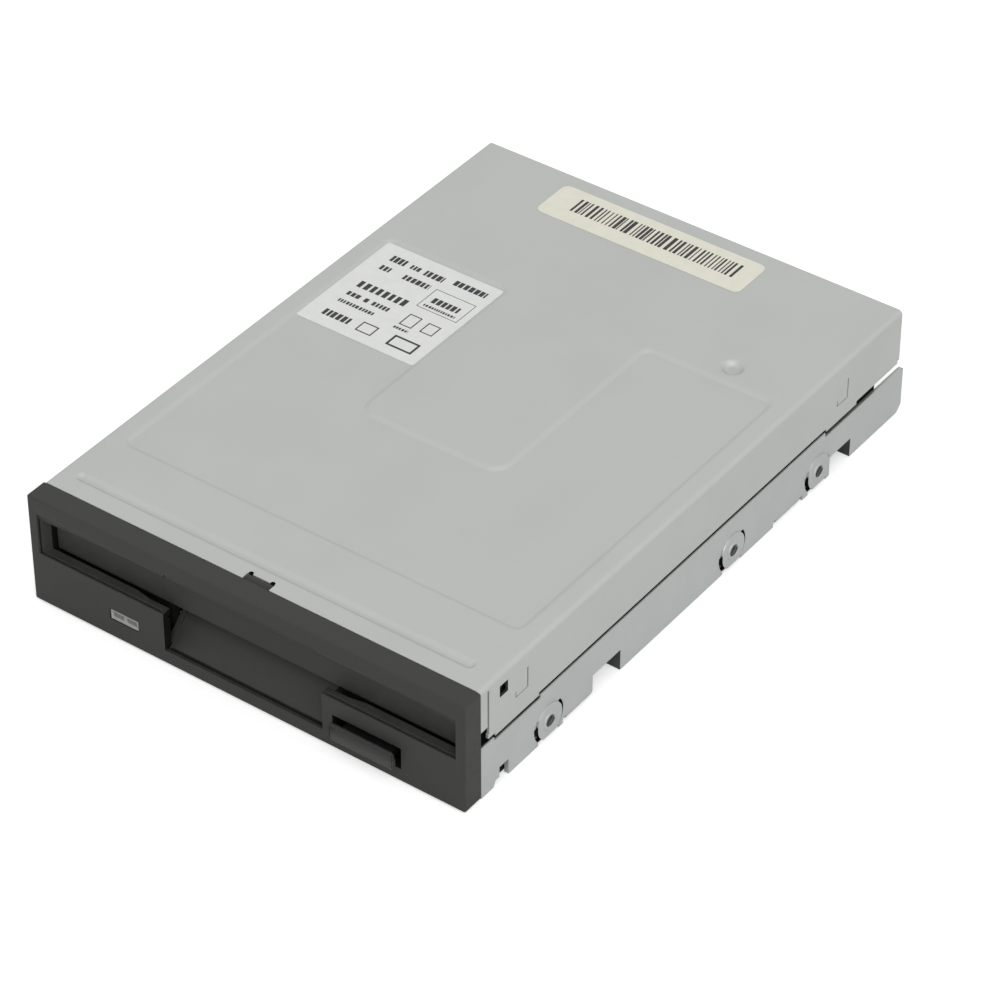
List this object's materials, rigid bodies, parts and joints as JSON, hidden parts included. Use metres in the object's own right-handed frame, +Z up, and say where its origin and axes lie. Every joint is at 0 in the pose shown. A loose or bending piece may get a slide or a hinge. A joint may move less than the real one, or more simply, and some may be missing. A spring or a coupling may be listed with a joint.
{
  "type": "floppy disk drive",
  "caption": "Internal 3.5 inch floppy disk drive: sheet-metal case, dark bezel with sprung slot door, eject button, disc loading mechanism, spindle and heads.",
  "frame": {"origin": "middle of the bounding box's lower face, under the drive's middle", "axes": "+X to the button's side, +Y from the bezel to the connectors, +Z up through the top cover"},
  "size_m": [0.1016, 0.1484, 0.0254],
  "materials": {
    "bezel_plastic": "fine moulded texture",
    "cover_steel": "satin galvanised sheet",
    "chassis_steel": "satin galvanised sheet",
    "mechanism_steel": "satin",
    "spring_steel": "bright wire",
    "pin_steel": "ground",
    "screw_steel": "zinc plated",
    "motor_steel": "plated can",
    "lamp_plastic": "clouded clear",
    "circuit_board": "solder mask",
    "white_label": "matte",
    "cream_label": "matte",
    "bearing_bronze": "sintered",
    "dark_magnet": "coated",
    "coil_copper": "enamelled wire",
    "pale_plastic": "moulded",
    "head_ceramic": "polished",
    "flex_film": "film",
    "chip_resin": "moulded",
    "capacitor_ceramic": "fired",
    "connector_black": "moulded",
    "pin_gold": "plated"
  },
  "bodies": {
    "frame": {"base_chassis": "chassis_steel", "top_cover": "cover_steel", "front_bezel": "bezel_plastic", "door_spring": "spring_steel", "eject_springs": "spring_steel", "lamp_window": "lamp_plastic", "indicator_lamp": "lamp_plastic", "lamp_board": "circuit_board", "large_label": "white_label", "small_label": "cream_label", "spindle_bearing": "bearing_bronze", "stator_core": "dark_magnet", "stator_coils": "coil_copper", "motor_board": "circuit_board", "motor_board_screws": "screw_steel", "screw_bearing": "pale_plastic", "stepper_motor": "motor_steel", "stepper_bracket": "mechanism_steel", "bracket_screws": "screw_steel", "guide_rod": "pin_steel", "rod_clamps": "mechanism_steel", "clamp_screws": "screw_steel", "main_board": "circuit_board", "board_screws": "screw_steel", "controller_chip": "chip_resin", "driver_chip": "chip_resin", "board_capacitors": "capacitor_ceramic", "data_connector": "connector_black", "data_pins": "pin_gold", "power_connector": "pale_plastic", "power_pins": "pin_gold", "switch_housings": "connector_black"},
    "door": {"slot_door": "bezel_plastic"},
    "slider": {"eject_slider": "mechanism_steel", "eject_button": "bezel_plastic"},
    "holder": {"disc_holder": "mechanism_steel", "holder_pins": "pin_steel", "lever_rivet": "pin_steel", "lever_spring": "spring_steel"},
    "lever": {"shutter_lever": "mechanism_steel", "shutter_pin": "pin_steel"},
    "rotor": {"rotor_yoke": "mechanism_steel", "rotor_magnet": "dark_magnet", "spindle_shaft": "pin_steel", "hub_plate": "dark_magnet", "drive_pin": "pin_steel"},
    "carriage": {"head_carriage": "pale_plastic", "lower_head": "head_ceramic", "carriage_needle": "pin_steel", "head_cable": "flex_film"},
    "arm": {"head_arm": "pale_plastic", "upper_head": "head_ceramic"},
    "screw": {"lead_screw": "pin_steel"},
    "write_protect": {"write_protect_plunger": "pale_plastic"},
    "density": {"density_plunger": "pale_plastic"},
    "disc_in": {"disc_in_plunger": "pale_plastic"}
  },
  "joints": [
    {"name": "door_swing", "type": "hinge", "parent": "frame", "child": "door", "pos_m": [0, -0.0674, 0.0195], "axis": [1, 0, 0], "range_deg": [0, 88], "stiffness_Nm_per_rad": 0.001, "springref_deg": -34.38, "deforming": ["door_spring"]},
    {"name": "eject_slide", "type": "slide", "parent": "frame", "child": "slider", "axis": [0, -1, 0], "range_m": [-0.0008, 0.0045], "deforming": ["eject_springs"]},
    {"name": "holder_drop", "type": "slide", "parent": "frame", "child": "holder", "axis": [0, 0, -1], "range_m": [-0.0005, 0.00281]},
    {"name": "lever_swing", "type": "hinge", "parent": "holder", "child": "lever", "pos_m": [-0.036, 0.0176, 0.0195], "axis": [0, 0, 1], "range_deg": [0, 48], "stiffness_Nm_per_rad": 0.002, "springref_deg": -22.92, "deforming": ["lever_spring"]},
    {"name": "spindle_spin", "type": "hinge", "parent": "frame", "child": "rotor", "pos_m": [0, -0.0184, 0.009], "axis": [0, 0, 1], "continuous": true},
    {"name": "head_seek", "type": "slide", "parent": "frame", "child": "carriage", "axis": [0, -1, 0], "range_m": [0, 0.0148], "deforming": ["head_cable"]},
    {"name": "screw_turn", "type": "hinge", "parent": "frame", "child": "screw", "pos_m": [-0.019, 0.0276, 0.0094], "axis": [0, 1, 0], "range_deg": [-1425, 1425]},
    {"name": "arm_lower", "type": "hinge", "parent": "carriage", "child": "arm", "pos_m": [0, 0.0511, 0.0155], "axis": [1, 0, 0], "range_deg": [-1.9, 10.1]},
    {"name": "write_protect_press", "type": "slide", "parent": "frame", "child": "write_protect", "axis": [0, 0, -1], "range_m": [0, 0.0012], "stiffness_N_per_m": 150, "springref_m": -0.001},
    {"name": "density_press", "type": "slide", "parent": "frame", "child": "density", "axis": [0, 0, -1], "range_m": [0, 0.0012], "stiffness_N_per_m": 150, "springref_m": -0.001},
    {"name": "disc_in_press", "type": "slide", "parent": "frame", "child": "disc_in", "axis": [0, 0, -1], "range_m": [0, 0.0012], "stiffness_N_per_m": 150, "springref_m": -0.001}
  ],
  "couplings": [
    {"joint": "holder_drop", "follows": "eject_slide", "ratio": 0.62222},
    {"joint": "arm_lower", "follows": "eject_slide", "rad_per_m": 38.785},
    {"joint": "screw_turn", "follows": "head_seek", "rad_per_m": 1675.5}
  ]
}
